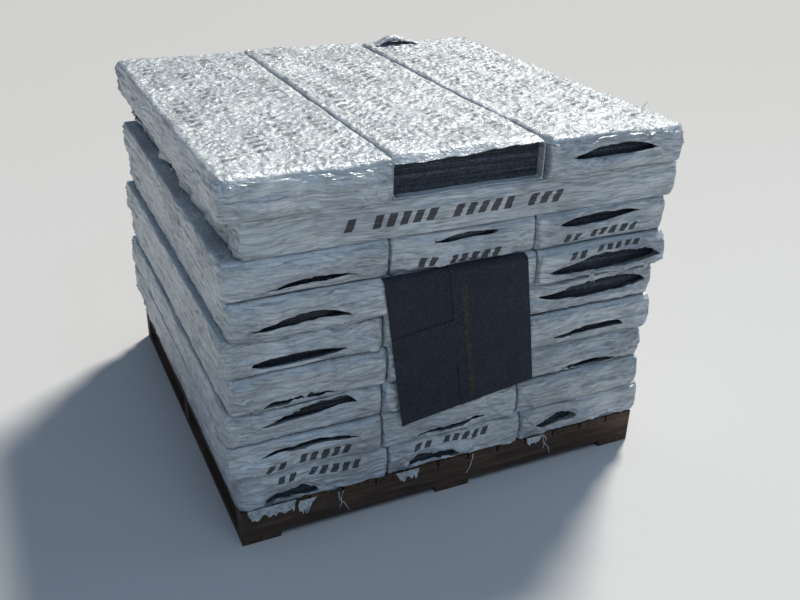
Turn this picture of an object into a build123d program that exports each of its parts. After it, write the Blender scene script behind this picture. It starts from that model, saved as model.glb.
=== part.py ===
from build123d import *
from math import cos, radians, sin
import os

# A pallet load of asphalt shingle bundles, in millimetres.
# +Z is up, the front of the load looks along -Y, and the origin is on the ground,
# under the middle of the pallet. Layer 1 lies on the pallet, the last layer is on top.

# Laminated shingles, and how many lie in a bundle
shingle_length = 1000.0
shingle_width = 337.0
sheet_thickness = 3.6
sheet_gap = 0.3
sheets_per_bundle = 21
edge_stagger = 1.0  # how far the sheets slip past each other

# Film round each bundle, a sleeve that closes in over the ends
film_thickness = 1.2
film_clearance = 0.3  # beside the sheets
side_bulge = 2.5
end_room = 5.0  # from the sheet ends to the film
end_bulge = 12.0
swell_start = 0.28  # part of the height where the sides reach their full swell
corner_cut = 16.0

# Stack of bundles
layer_count = 9
bundles_per_layer = 3
bundle_gap = 1.5
cross_layer = 8  # lies across the others, its long sides to the front

# How far each layer has slipped, in X and Y, from the bottom up
layer_slips = [
    (4, -2),
    (-14, -8),
    (-12, 3),
    (-4, -6),
    (-12, 2),
    (4, -9),
    (-2, 0),
    (24, 10),
    (0, 0),
]
# The last layer's own bundles, in X and Y, from left to right
top_slips = [(-3, -14), (0, 6), (4, -16)]

# Pallet, its deck boards front to back over stringers that run left to right
deck_board_width = 75.0
deck_board_thickness = 16.0
deck_board_gap = 5.0
deck_inset = 4.0  # inside the load's sides
stringer_width = 38.0
stringer_height = 57.0
stringer_count = 3
bottom_board_width = 89.0
bottom_board_thickness = 16.0
bottom_board_count = 3

# Sample shingle hung over the front, tucked in above the layer named here
sample_layer = 6
sample_drop = 345.0
sample_lean = 8.0  # degrees that it hangs askew
sample_shift = -26.0
sample_base_thickness = 2.0
sample_tooth_thickness = 1.8
sample_clearance = 0.4
sample_tuck = 15.5  # how far its folded top reaches in between the layers
sample_bend_radius = 7.0
tooth_reach = 148.0  # from the left edge
upper_tooth_drop = 118.0
lower_tooth_start = 232.0
sealant_width = 14.0
sealant_thickness = 0.6
sealant_place = 178.0  # its middle, from the left edge
sealant_start = 40.0  # below the fold
sealant_end = 330.0

pack_height = sheets_per_bundle * (sheet_thickness + sheet_gap) - sheet_gap
bundle_height = pack_height + 2 * film_thickness
bundle_width = shingle_width + 2 * (edge_stagger + film_clearance + film_thickness + side_bulge)
bundle_length = shingle_length + 2 * (end_room + film_thickness + end_bulge)
bundle_pitch = bundle_width + bundle_gap
load_width = bundles_per_layer * bundle_pitch - bundle_gap
pallet_height = bottom_board_thickness + stringer_height + deck_board_thickness

# Shapes of the openings that the film leaves at a bundle's ends:
# place of the middle in X and height, half length, rise above and drop below that line
opening_shapes = {
    "lens": (-12.0, 0.52, 112.0, 15.0, 12.0),
    "low lens": (-30.0, 0.30, 108.0, 13.0, 11.0),
    "high lens": (-14.0, 0.68, 116.0, 12.0, 17.0),
    "slit": (6.0, 0.24, 100.0, 9.0, 8.0),
    "high slit": (10.0, 0.82, 96.0, 6.0, 10.0),
    "wide": (-4.0, 0.46, 150.0, 26.0, 21.0),
    "broad": (8.0, 0.50, 146.0, 19.0, 22.0),
}

# Openings that face the front, left to right, from the bottom layer up.
# The cross layer's row is read from front to back, on the side at -X.
near_openings = [
    ("high slit", "slit", "broad"),
    ("high lens", "slit", "slit"),
    ("lens", "lens", "slit"),
    ("slit", "low lens", "low lens"),
    ("low lens", "lens", "broad"),
    ("slit", "low lens", "wide"),
    ("low lens", "high slit", "high lens"),
    ("lens", "slit", "low lens"),
    ("closed", "open", "lens"),
]
# Openings at the other end of the same bundles
far_openings = [
    ("lens", "slit", "high lens"),
    ("slit", "lens", "low lens"),
    ("low lens", "high lens", "slit"),
    ("broad", "slit", "lens"),
    ("high slit", "low lens", "slit"),
    ("lens", "wide", "low lens"),
    ("slit", "low lens", "high lens"),
    ("high lens", "lens", "slit"),
    ("low lens", "lens", "slit"),
]


def barrel(half, height, bulge):
    """Outline with a flat top and bottom and sides that swell by bulge."""
    low, high = swell_start * height, (1 - swell_start) * height
    Polyline(
        (half, 0),
        (half + bulge, low),
        (half + bulge, high),
        (half, height),
        (-half, height),
        (-half - bulge, high),
        (-half - bulge, low),
        (-half, 0),
        close=True,
    )


def pillow(half_width, half_length, height, corner):
    """A closed bundle shape: both pairs of sides swell, and the upright corners are cut off."""
    with BuildPart() as body:
        with BuildSketch(Plane.XZ):
            with BuildLine():
                barrel(half_width, height, side_bulge)
            make_face()
        extrude(amount=half_length + 2 * end_bulge, both=True)
        with BuildSketch(Plane.YZ):
            with BuildLine():
                barrel(half_length, height, end_bulge)
            make_face()
        extrude(amount=half_width + 2 * side_bulge, both=True, mode=Mode.INTERSECT)
        with BuildSketch() as plan:
            Rectangle(2 * (half_width + side_bulge), 2 * (half_length + end_bulge))
            chamfer(plan.vertices(), length=corner)
        extrude(amount=height, mode=Mode.INTERSECT)
    return body.part


def cut_opening(shape, end):
    """Cuts one end of the film sleeve that is being built; end is -1 at the front, 1 at the back."""
    reach = end_room + film_thickness + end_bulge
    if shape == "open":
        middle = end * (bundle_length + shingle_length) / 4
        with Locations((0, middle, bundle_height / 2)):
            Box(2 * bundle_width, reach, 2 * bundle_height, mode=Mode.SUBTRACT)
    elif shape != "closed":
        place, level, half, rise, drop = opening_shapes[shape]
        line = level * bundle_height
        mouth = Plane((0, end * bundle_length / 2, 0), x_dir=(1, 0, 0), z_dir=(0, -1, 0))
        with BuildSketch(mouth) as opening:
            with BuildLine():
                ThreePointArc((place - half, line), (place, line + rise), (place + half, line))
                ThreePointArc((place + half, line), (place, line - drop), (place - half, line))
            make_face()
        extrude(opening.sketch, amount=end * reach, mode=Mode.SUBTRACT)


def film_sleeve(near, far):
    """Film of one bundle, lying along Y on Z = 0."""
    outer = pillow(
        bundle_width / 2 - side_bulge, bundle_length / 2 - end_bulge, bundle_height, corner_cut
    )
    inner = pillow(
        bundle_width / 2 - side_bulge - film_thickness,
        bundle_length / 2 - end_bulge - film_thickness,
        pack_height,
        corner_cut - 0.6 * film_thickness,
    )
    with BuildPart() as sleeve:
        add(outer)
        with Locations((0, 0, film_thickness)):
            add(inner, mode=Mode.SUBTRACT)
        cut_opening(near, -1)
        cut_opening(far, 1)
    return sleeve.part


def bundle_places(layer):
    """Where each bundle of a layer goes, from left to right, or from front to back across."""
    slip_x, slip_y = layer_slips[layer - 1]
    level = pallet_height + (layer - 1) * bundle_height
    places = []
    for column in range(bundles_per_layer):
        offset = (column - (bundles_per_layer - 1) / 2) * bundle_pitch
        own_x, own_y = top_slips[column] if layer == layer_count else (0, 0)
        if layer == cross_layer:
            places.append(Location((slip_x, slip_y + offset, level), (0, 0, -90)))
        else:
            places.append(Location((slip_x + own_x + offset, slip_y + own_y, level)))
    return places


def sheet_places():
    """Where a bundle's sheets lie inside it: one on the other, each slipped a little."""
    places = []
    for number in range(sheets_per_bundle):
        level = film_thickness + number * (sheet_thickness + sheet_gap)
        slip_x = edge_stagger * sin(radians(137.0 * number))
        slip_y = edge_stagger * cos(radians(101.0 * number))
        places.append(Location((slip_x, slip_y, level)))
    return places


def sheet_pack():
    """Shingles of one bundle, lying along Y."""
    with BuildPart() as pack:
        with Locations(*sheet_places()):
            Box(
                shingle_width,
                shingle_length,
                sheet_thickness,
                align=(Align.CENTER, Align.CENTER, Align.MIN),
            )
    return pack.part


def bent_sheet(inner, thickness, drop):
    """Profile of a sheet that lies on a ledge, turns down over its edge and hangs to the drop.

    Inner is the point (Y, Z) where the ledge and the wall behind the sheet would meet."""
    wall, ledge = inner
    reach = wall + sample_tuck
    with BuildSketch(Plane.YZ) as profile:
        with BuildLine():
            Polyline(
                (reach, ledge),
                (reach, ledge + thickness),
                (wall - thickness, ledge + thickness),
                (wall - thickness, ledge - drop),
                (wall, ledge - drop),
                (wall, ledge),
                close=True,
            )
        make_face()
        inside = profile.vertices().sort_by_distance((wall, ledge))[0]
        fillet(inside, radius=sample_bend_radius)
        outside = profile.vertices().sort_by_distance((wall - thickness, ledge + thickness))[0]
        fillet(outside, radius=sample_bend_radius + thickness)
    return profile.sketch


def askew(left, right, upper, lower):
    """Area of the hung sheet in the front view, measured on the sheet from its upper left."""
    with BuildSketch(Plane.XZ) as area:
        with BuildLine():
            Polyline(
                sample_point(left, upper),
                sample_point(right, upper),
                sample_point(right, lower),
                sample_point(left, lower),
                close=True,
            )
        make_face()
    return area.sketch


def sample_point(across, down):
    """A point on the hung sheet, turned by its lean about the middle of its fold."""
    lean = radians(sample_lean)
    side = across - shingle_width / 2
    ledge = pallet_height + sample_layer * bundle_height
    return (
        sample_shift + side * cos(lean) + down * sin(lean),
        ledge + side * sin(lean) - down * cos(lean),
    )


def write(part, name):
    part.label = name
    export_step(part, f"parts/{name}.step")


os.makedirs("parts", exist_ok=True)

# Pallet
deck_board_pitch = deck_board_width + deck_board_gap
deck_board_count = int((load_width - 2 * deck_inset + deck_board_gap) // deck_board_pitch)
deck_width = deck_board_count * deck_board_pitch - deck_board_gap
deck_length = bundle_length - 2 * deck_inset
on_ground = (Align.CENTER, Align.CENTER, Align.MIN)

with BuildPart() as deck_boards:
    with Locations((0, 0, pallet_height - deck_board_thickness)):
        with GridLocations(deck_board_pitch, 0, deck_board_count, 1):
            Box(deck_board_width, deck_length, deck_board_thickness, align=on_ground)
write(deck_boards.part, "pallet_deck_boards")

with BuildPart() as stringers:
    stringer_pitch = (deck_length - stringer_width) / (stringer_count - 1)
    with Locations((0, 0, bottom_board_thickness)):
        with GridLocations(0, stringer_pitch, 1, stringer_count):
            Box(deck_width, stringer_width, stringer_height, align=on_ground)
write(stringers.part, "pallet_stringers")

with BuildPart() as bottom_boards:
    bottom_board_pitch = (deck_width - bottom_board_width) / (bottom_board_count - 1)
    with GridLocations(bottom_board_pitch, 0, bottom_board_count, 1):
        Box(bottom_board_width, deck_length, bottom_board_thickness, align=on_ground)
write(bottom_boards.part, "pallet_bottom_boards")

# Bundles, layer by layer; the bundles of the last layer are written one by one
pack = sheet_pack()
column_names = ["left", "middle", "right"]

for layer in range(1, layer_count + 1):
    places = bundle_places(layer)
    sleeves = [
        film_sleeve(near, far).moved(place)
        for near, far, place in zip(near_openings[layer - 1], far_openings[layer - 1], places)
    ]
    packs = [pack.moved(place) for place in places]
    if layer == layer_count:
        for column, sleeve, sheets in zip(column_names, sleeves, packs):
            write(Compound(sleeve.solids()), f"film_top_{column}")
            write(Compound(sheets.solids()), f"shingles_top_{column}")
    else:
        film = [solid for sleeve in sleeves for solid in sleeve.solids()]
        shingles = [solid for sheets in packs for solid in sheets.solids()]
        write(Compound(film), f"film_layer_{layer}")
        write(Compound(shingles), f"shingles_layer_{layer}")

# Sample shingle: a base sheet, a second sheet with a tooth on its face, and a strip of sealant
ledge_height = pallet_height + sample_layer * bundle_height
front_face = layer_slips[sample_layer - 1][1] - bundle_length / 2
fold = (front_face - sample_clearance, ledge_height)
above = -sample_drop / 2  # past the fold, so that the fold ends each area
depth = 2 * bundle_length
total_thickness = sample_base_thickness + sample_tooth_thickness

with BuildPart() as sample:
    extrude(bent_sheet(fold, sample_base_thickness, 1.2 * sample_drop), amount=load_width, both=True)
    extrude(
        askew(0, shingle_width, above, sample_drop),
        amount=depth,
        mode=Mode.INTERSECT,
    )
with BuildPart() as sample_face:
    extrude(bent_sheet(fold, total_thickness, 1.2 * sample_drop), amount=load_width, both=True)
    extrude(
        askew(tooth_reach, shingle_width, above, sample_drop)
        + askew(0, shingle_width, upper_tooth_drop, lower_tooth_start),
        amount=depth,
        mode=Mode.INTERSECT,
    )
    add(sample.part)
write(sample_face.part, "sample_shingle")

with BuildPart() as sealant:
    strip_plane = Plane.XZ.offset(-(front_face - sample_clearance - total_thickness))
    extrude(
        askew(
            sealant_place - sealant_width / 2,
            sealant_place + sealant_width / 2,
            sealant_start,
            sealant_end,
        ),
        amount=depth,
    )
    with BuildSketch(strip_plane) as slab:
        Rectangle(3 * load_width, 6 * sample_drop)
    extrude(slab.sketch, amount=sealant_thickness, mode=Mode.INTERSECT)
write(sealant.part, "sample_sealant")
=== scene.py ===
import bpy, bmesh, math
import numpy as np
from mathutils import Matrix, Vector
from types import SimpleNamespace


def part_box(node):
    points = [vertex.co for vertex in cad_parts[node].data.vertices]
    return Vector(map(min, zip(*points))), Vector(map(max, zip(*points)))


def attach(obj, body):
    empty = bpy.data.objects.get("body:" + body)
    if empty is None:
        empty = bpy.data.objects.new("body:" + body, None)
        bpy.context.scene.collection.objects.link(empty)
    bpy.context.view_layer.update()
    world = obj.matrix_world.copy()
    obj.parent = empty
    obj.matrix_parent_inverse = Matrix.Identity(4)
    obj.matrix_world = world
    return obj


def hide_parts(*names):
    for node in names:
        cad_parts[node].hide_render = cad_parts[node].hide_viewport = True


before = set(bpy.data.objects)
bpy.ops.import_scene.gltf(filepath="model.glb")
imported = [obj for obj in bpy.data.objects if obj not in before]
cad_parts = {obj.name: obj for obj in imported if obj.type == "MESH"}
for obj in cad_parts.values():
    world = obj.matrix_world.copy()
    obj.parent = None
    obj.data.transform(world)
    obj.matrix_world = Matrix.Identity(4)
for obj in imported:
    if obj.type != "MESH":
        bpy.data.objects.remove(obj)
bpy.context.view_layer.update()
print("frame loaded")

# shape helpers

def hashed(ix, iy, iz, seed):
    h = (ix * 73856093) ^ (iy * 19349663) ^ (iz * 83492791) ^ (seed * 2654435761)
    h = h & 0xFFFFFFFF
    h = ((h ^ (h >> 16)) * 0x45D9F3B) & 0xFFFFFFFF
    h = ((h ^ (h >> 16)) * 0x45D9F3B) & 0xFFFFFFFF
    return ((h ^ (h >> 16)) & 0xFFFFFF) / 16777215.0


def softNoise(points, size, seed):  # smooth noise, -1 to 1, with lumps of about that size
    p = points / np.array(size)
    cell = np.floor(p).astype(np.int64)
    f = p - cell
    u = f * f * f * (f * (f * 6 - 15) + 10)
    total = np.zeros(len(p))
    for corner in np.ndindex(2, 2, 2):
        x, y, z = (u[:, i] if corner[i] else 1 - u[:, i] for i in range(3))
        total += x * y * z * hashed(*(cell[:, i] + corner[i] for i in range(3)), seed)
    return total * 2 - 1


def alongRow(values, size, seed):  # the same noise on one line
    return softNoise(np.stack([values, values * 0, values * 0], 1), (size, 1, 1), seed)


def stepUp(values, low, high):
    t = np.clip((values - low) / (high - low), 0, 1)
    return t * t * (3 - 2 * t)


def nearRim(values, half, start, full):  # 0 to 1 on the way to a face's edge
    return stepUp(np.abs(values), half - start, half - full)


def stepSign(value, limit):
    return math.copysign(1, value) if abs(value) > limit else 0


def nearSegment(px, pz, ax, az, bx, bz):  # distance from points to a line between two corners
    dx, dz = bx - ax, bz - az
    t = np.clip(((px - ax) * dx + (pz - az) * dz) / (dx * dx + dz * dz), 0, 1)
    return np.hypot(px - ax - t * dx, pz - az - t * dz)


def readVerts(bm):
    return np.array([v.co for v in bm.verts])


def moveVerts(bm, points):
    for v, co in zip(bm.verts, points):
        v.co = co


def meshPiece(name, bm, material):
    mesh = bpy.data.meshes.new(name)
    bm.to_mesh(mesh)
    bm.free()
    piece = bpy.data.objects.new(name, mesh)
    bpy.context.scene.collection.objects.link(piece)
    mesh.materials.append(material)
    return piece


# material helpers; each takes the node tree first

def newMaterial(name):
    material = bpy.data.materials.new(name)
    material.use_nodes = True
    tree = material.node_tree
    tree.nodes.clear()
    output = tree.nodes.new("ShaderNodeOutputMaterial")
    shader = tree.nodes.new("ShaderNodeBsdfPrincipled")
    tree.links.new(shader.outputs["BSDF"], output.inputs["Surface"])
    return material, tree, shader


def newGroup(name, inputs, outputs):
    tree = bpy.data.node_groups.new(name, "ShaderNodeTree")
    for label, kind, value in inputs:
        made = tree.interface.new_socket(name=label, in_out="INPUT", socket_type="NodeSocket" + kind)
        if value is not None:
            made.default_value = value
    for label, kind in outputs:
        tree.interface.new_socket(name=label, in_out="OUTPUT", socket_type="NodeSocket" + kind)
    return tree, tree.nodes.new("NodeGroupInput"), tree.nodes.new("NodeGroupOutput")


def placeGroup(tree, group, **values):
    node = tree.nodes.new("ShaderNodeGroup")
    node.node_tree = group
    for label, value in values.items():
        node.inputs[label].default_value = value
    return node


def feed(tree, socket, value):  # a number, vector or colour is set, the output of a node is linked
    if isinstance(value, (int, float)):
        socket.default_value = value
    elif isinstance(value, tuple):
        socket.default_value = (*value, 1)[:len(socket.default_value)]
    else:
        tree.links.new(value, socket)


def noise(tree, vector, scale, detail=4.0, rough=0.55, distortion=0.0, output="Fac"):
    node = tree.nodes.new("ShaderNodeTexNoise")
    for label, value in (("Vector", vector), ("Scale", scale), ("Detail", detail),
                         ("Roughness", rough), ("Distortion", distortion)):
        feed(tree, node.inputs[label], value)
    return node.outputs[output]


def ramp(tree, factor, stops):
    node = tree.nodes.new("ShaderNodeValToRGB")
    elements = node.color_ramp.elements
    while len(elements) < len(stops):
        elements.new(0.5)
    for element, (position, colour) in zip(elements, stops):
        element.position = position
        element.color = (*colour, 1)
    tree.links.new(factor, node.inputs["Fac"])
    return node.outputs["Color"]


def maths(tree, operation, *values):
    node = tree.nodes.new("ShaderNodeMath")
    node.operation = operation
    for socket, value in zip(node.inputs, values):
        feed(tree, socket, value)
    return node.outputs["Value"]


def vectorMaths(tree, operation, *values):
    node = tree.nodes.new("ShaderNodeVectorMath")
    node.operation = operation
    for socket, value in zip(node.inputs, values):
        feed(tree, socket, value)
    return node.outputs["Value" if operation == "DOT_PRODUCT" else "Vector"]


def mix(tree, blend, factor, first, second):
    node = tree.nodes.new("ShaderNodeMix")
    node.data_type = "RGBA"
    node.blend_type = blend
    for index, value in ((0, factor), (6, first), (7, second)):  # the sockets of its colour form
        feed(tree, node.inputs[index], value)
    return node.outputs[2]


def between(tree, value, low, high, start=0.0, end=1.0):
    node = tree.nodes.new("ShaderNodeMapRange")
    for label, number in (("From Min", low), ("From Max", high), ("To Min", start), ("To Max", end)):
        node.inputs[label].default_value = number
    tree.links.new(value, node.inputs["Value"])
    return node.outputs["Result"]


def warped(tree, vector, scale, amount):  # the vector, pushed about by a soft noise
    push = noise(tree, vector, scale, 2.0, output="Color")
    centred = vectorMaths(tree, "SUBTRACT", push, (0.5, 0.5, 0.5))
    return vectorMaths(tree, "MULTIPLY_ADD", centred, amount, vector)


def crests(tree, value, sharpness):  # ridges where a noise crosses its middle
    off = maths(tree, "ABSOLUTE", maths(tree, "MULTIPLY_ADD", value, 2.0, -1.0))
    return maths(tree, "POWER", maths(tree, "SUBTRACT", 1.0, off), sharpness)


def shaded(tree, colour, value):  # the colour times a grey value
    grey = tree.nodes.new("ShaderNodeCombineXYZ")
    for socket in grey.inputs:
        tree.links.new(value, socket)
    return mix(tree, "MULTIPLY", 1.0, colour, grey.outputs["Vector"])


def addBump(tree, shader, height, strength, distance):
    bump = tree.nodes.new("ShaderNodeBump")
    bump.inputs["Strength"].default_value = strength
    bump.inputs["Distance"].default_value = distance
    tree.links.new(height, bump.inputs["Height"])
    tree.links.new(bump.outputs["Normal"], shader.inputs["Normal"])


# film that wraps the bundles: silvery, half gloss, with worn bars printed in rows

filmLook = {
    "dusty": (0.405, 0.450, 0.490),
    "base": (0.500, 0.560, 0.615),
    "bright": (0.610, 0.665, 0.705),
    "ink": (0.030, 0.034, 0.042),
    "soil": (0.74, 0.73, 0.71),
    "roughness": (0.26, 0.50),
    "topsRougher": 0.15,
    "metallic": 0.34,
    "bump": 0.85,
    "longFolds": ((7.0, 7.0, 70.0), 5.0, 0.07, 0.4, 5.0),  # stretch, warp's scale and reach, grain, sharpness
    "thinFolds": ((11.0, 11.0, 165.0), 3.6, 0.06, 0.5, 4.0),
    "foldHeights": (0.0022, 0.0010),
    "curlHeight": 0.0013,
    "facets": ((80.0, 0.20), (190.0, 0.13)),  # scale and tilt
    "uprightFacets": 0.28,  # share of the facets' height that ends and sides keep
    "slant": 0.42,
    "barsInGroup": 6,
    "groupShare": 0.82,
    "rows": (  # on the wrap map: middle across, height, pitch, share of a bar, start and end, strength
        (-0.122, 0.034, 0.031, 0.52, -0.43, 0.44, 0.66),
        (-0.042, 0.034, 0.031, 0.52, -0.45, 0.42, 0.66),
        (0.040, 0.034, 0.031, 0.52, -0.42, 0.45, 0.66),
        (0.120, 0.034, 0.031, 0.52, -0.44, 0.43, 0.66),
        (1.014, 0.021, 0.0250, 0.60, -0.120, 0.120, 0.92),
        (0.976, 0.0022, 0.050, 0.86, -0.14, 0.14, 0.55),
        (2.000, 0.027, 0.0300, 0.60, -0.33, 0.20, 0.92),
    ),
    "rim": (0.494, 0.164),  # the painted crease shade fades past these places on the map of a top
}


def facetGroup():  # flat facets that tilt at random, as in crushed foil
    tree, inside, outside = newGroup("crushedFacets", [
        ("Vector", "Vector", None), ("Scale", "Float", 100.0),
        ("Tilt", "Float", 0.8)], [("Height", "Float")])
    cells = tree.nodes.new("ShaderNodeTexVoronoi")
    for label in ("Vector", "Scale"):
        tree.links.new(inside.outputs[label], cells.inputs[label])
    away = vectorMaths(tree, "SUBTRACT", inside.outputs["Vector"], cells.outputs["Position"])
    lean = vectorMaths(tree, "SUBTRACT", cells.outputs["Color"], (0.5, 0.5, 0.5))
    slope = vectorMaths(tree, "DOT_PRODUCT", away, lean)
    tree.links.new(maths(tree, "MULTIPLY", slope, inside.outputs["Tilt"]), outside.inputs["Height"])
    return tree


def printMask(tree, u, v):
    slant = filmLook["slant"]
    ink = None
    for middle, height, pitch, share, start, end, strength in filmLook["rows"]:
        off = maths(tree, "ABSOLUTE", maths(tree, "SUBTRACT", v, middle))
        bar = maths(tree, "DIVIDE", maths(tree, "MULTIPLY_ADD", v, -slant, u), pitch)
        place = maths(tree, "MULTIPLY", maths(tree, "FLOOR", bar), pitch)
        group = maths(tree, "FRACT", maths(tree, "DIVIDE", bar, filmLook["barsInGroup"]))
        lean = -slant * middle
        mask = strength
        for part in (maths(tree, "LESS_THAN", off, height / 2),
                     maths(tree, "LESS_THAN", maths(tree, "FRACT", bar), share),
                     maths(tree, "LESS_THAN", group, filmLook["groupShare"]),
                     maths(tree, "GREATER_THAN", place, start + lean),
                     maths(tree, "LESS_THAN", place, end + lean)):
            mask = maths(tree, "MULTIPLY", part, mask)
        ink = mask if ink is None else maths(tree, "MAXIMUM", ink, mask)
    return ink


def foldLines(tree, coords, stretch, scale, reach, grain, sharpness):  # run along ends and sides
    flow = vectorMaths(tree, "MULTIPLY", warped(tree, coords, scale, (0.0, 0.0, reach)), stretch)
    return crests(tree, noise(tree, flow, 1.0, 2.0, grain), sharpness)


def filmColour(tree, coords, u, v, flat, upright, curl, folds):
    tint = ramp(tree, noise(tree, coords, 6.0, 4.0), [
        (0.30, filmLook["dusty"]), (0.5, filmLook["base"]), (0.74, filmLook["bright"])])
    # worn print, broken up and faded on the tops
    wear = between(tree, noise(tree, coords, 55.0, 5.0, 0.65), 0.27, 0.33, 0.35, 1.0)
    broken = between(tree, noise(tree, coords, 190.0, 2.0, 0.5), 0.30, 0.50, 0.5, 1.0)
    faded = between(tree, noise(tree, coords, 11.0, 3.0, 0.5), 0.38, 0.60, 0.25, 1.0)
    left = maths(tree, "MAXIMUM", maths(tree, "MULTIPLY", broken, faded), upright)
    ink = maths(tree, "MULTIPLY", printMask(tree, u, v), wear)
    colour = mix(tree, "MIX", maths(tree, "MULTIPLY", ink, left), tint, filmLook["ink"])
    soil = ramp(tree, noise(tree, coords, 22.0, 6.0, 0.65), [
        (0.30, filmLook["soil"]), (0.5, (1.0, 1.0, 1.0))])
    colour = mix(tree, "MULTIPLY", 0.8, colour, soil)
    # painted shade in the creases, on the tops only and not past the rim of a face
    paintedCreaseShade = between(tree, curl, 0.66, 0.95, 1.0, 0.60)
    rim = maths(tree, "MAXIMUM", *(
        maths(tree, "SUBTRACT", maths(tree, "ABSOLUTE", place), limit)
        for place, limit in zip((u, v), filmLook["rim"])))
    paintedCreaseShade = maths(tree, "MAXIMUM", paintedCreaseShade, between(tree, rim, 0.0, 0.006))
    paintedCreaseShade = maths(tree, "MINIMUM", paintedCreaseShade, 1.0)
    long, thin = folds
    # painted shade along the fold lines of ends and long sides, a little lighter between them; none on the
    # tops
    fold = maths(tree, "MULTIPLY", between(tree, thin, 0.55, 1.0, 1.03, 0.78),
                 between(tree, long, 0.45, 0.95, 1.02, 0.80))
    fold = maths(tree, "MAXIMUM", fold, flat)
    return shaded(tree, colour, maths(tree, "MULTIPLY", paintedCreaseShade, fold))


def filmMaterial():
    material, tree, shader = newMaterial("wrapFilm")
    coords = tree.nodes.new("ShaderNodeTexCoord").outputs["Object"]
    uv = tree.nodes.new("ShaderNodeUVMap")
    uv.uv_map = "wrap"
    split = tree.nodes.new("ShaderNodeSeparateXYZ")
    tree.links.new(uv.outputs["UV"], split.inputs["Vector"])
    u, v = split.outputs["X"], split.outputs["Y"]
    flat = maths(tree, "LESS_THAN", v, 0.7)  # 1 on the tops, 0 on ends and long sides
    upright = maths(tree, "SUBTRACT", 1.0, flat)
    folds = [foldLines(tree, coords, *filmLook[kind]) for kind in ("longFolds", "thinFolds")]
    # curling creases and flat facets of crushed film, on the tops above all
    near = warped(tree, coords, 45.0, (0.012, 0.012, 0.012))
    curl = crests(tree, noise(tree, near, 78.0, 2.0, 0.5), 4.0)
    group = facetGroup()
    facets = 0.0
    for scale, tilt in filmLook["facets"]:
        node = placeGroup(tree, group, Scale=scale, Tilt=tilt)
        tree.links.new(near, node.inputs["Vector"])
        facets = maths(tree, "ADD", node.outputs["Height"], facets)
    facets = maths(tree, "MULTIPLY_ADD", curl, filmLook["curlHeight"], facets)
    kept = filmLook["uprightFacets"]
    facets = maths(tree, "MULTIPLY", facets, maths(tree, "MULTIPLY_ADD", flat, 1 - kept, kept))
    rise = 0.0
    for line, height in zip(folds, filmLook["foldHeights"]):
        rise = maths(tree, "MULTIPLY_ADD", line, height, rise)
    addBump(tree, shader, maths(tree, "MULTIPLY_ADD", rise, upright, facets), filmLook["bump"], 1.0)
    colour = filmColour(tree, coords, u, v, flat, upright, curl, folds)
    tree.links.new(colour, shader.inputs["Base Color"])
    shader.inputs["Metallic"].default_value = filmLook["metallic"]
    rough = between(tree, noise(tree, coords, 38.0, 4.0), 0.0, 1.0, *filmLook["roughness"])
    rough = maths(tree, "MULTIPLY_ADD", flat, filmLook["topsRougher"], rough)
    tree.links.new(rough, shader.inputs["Roughness"])
    return material


# mineral granules pressed in asphalt, on the sheets, their cut ends and the sealant

granuleLooks = {  # dark and light grains, grains in a metre, depth, strength of the lines of cut ends
    "sheetEdge": ((0.014, 0.019, 0.027), (0.070, 0.090, 0.118), 520.0, 0.0010, 6.5),
    "granules": ((0.006, 0.010, 0.018), (0.038, 0.053, 0.088), 640.0, 0.0008, 0.0),
    "sealantStrip": ((0.020, 0.019, 0.019), (0.066, 0.062, 0.060), 300.0, 0.0005, 0.0),
}
pale = (1.0, 0.98, 0.95)  # brightest part of the stains on granules and wood


def granuleGroup():
    tree, inside, outside = newGroup("mineralGranules", [
        ("Grain", "Float", 700.0), ("Dark", "Color", None),
        ("Light", "Color", None), ("Lines", "Float", 0.0)],
        [("Color", "Color"), ("Height", "Float")])
    coords = tree.nodes.new("ShaderNodeTexCoord").outputs["Object"]
    grains = tree.nodes.new("ShaderNodeTexVoronoi")
    tree.links.new(coords, grains.inputs["Vector"])
    tree.links.new(inside.outputs["Grain"], grains.inputs["Scale"])
    pick = tree.nodes.new("ShaderNodeSeparateXYZ")
    tree.links.new(grains.outputs["Color"], pick.inputs["Vector"])
    steep = maths(tree, "POWER", pick.outputs["X"], 2.2)
    colour = mix(tree, "MIX", steep, inside.outputs["Dark"], inside.outputs["Light"])
    stain = ramp(tree, noise(tree, coords, 14.0, 5.0), [(0.3, (0.66, 0.68, 0.72)), (0.7, pale)])
    colour = mix(tree, "MULTIPLY", 1.0, colour, stain)
    # faint lines from sheet to sheet, seen on cut ends
    lines = inside.outputs["Lines"]
    layered = noise(tree, vectorMaths(tree, "MULTIPLY", coords, (1.6, 1.6, 150.0)), 1.0, 3.0, 0.6)
    bright = maths(tree, "MULTIPLY_ADD", layered, lines, 1.0)
    bright = maths(tree, "MULTIPLY_ADD", lines, -0.42, bright)
    bright = maths(tree, "MAXIMUM", bright, 0.2)
    tree.links.new(shaded(tree, colour, bright), outside.inputs["Color"])
    tree.links.new(grains.outputs["Distance"], outside.inputs["Height"])
    return tree


def groupMaterial(name, group, roughness, strength, depth, **values):
    material, tree, shader = newMaterial(name)
    node = placeGroup(tree, group, **values)
    tree.links.new(node.outputs["Color"], shader.inputs["Base Color"])
    shader.inputs["Roughness"].default_value = roughness
    addBump(tree, shader, node.outputs["Height"], strength, depth)
    return material


def granuleMaterial(name, group):
    dark, light, grain, depth, lines = granuleLooks[name]
    return groupMaterial(name, group, 0.86, 0.8, depth,
                         Grain=grain, Dark=(*dark, 1), Light=(*light, 1), Lines=lines)


# weathered softwood of the pallet

woodLook = {
    "dark": (0.030, 0.018, 0.012),
    "mid": (0.082, 0.050, 0.034),
    "pale": (0.17, 0.12, 0.085),
    "deckWood": (26.0, 1.2, 26.0),  # its grain runs along Y
    "stringerWood": (1.2, 26.0, 26.0),  # along X
}


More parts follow.
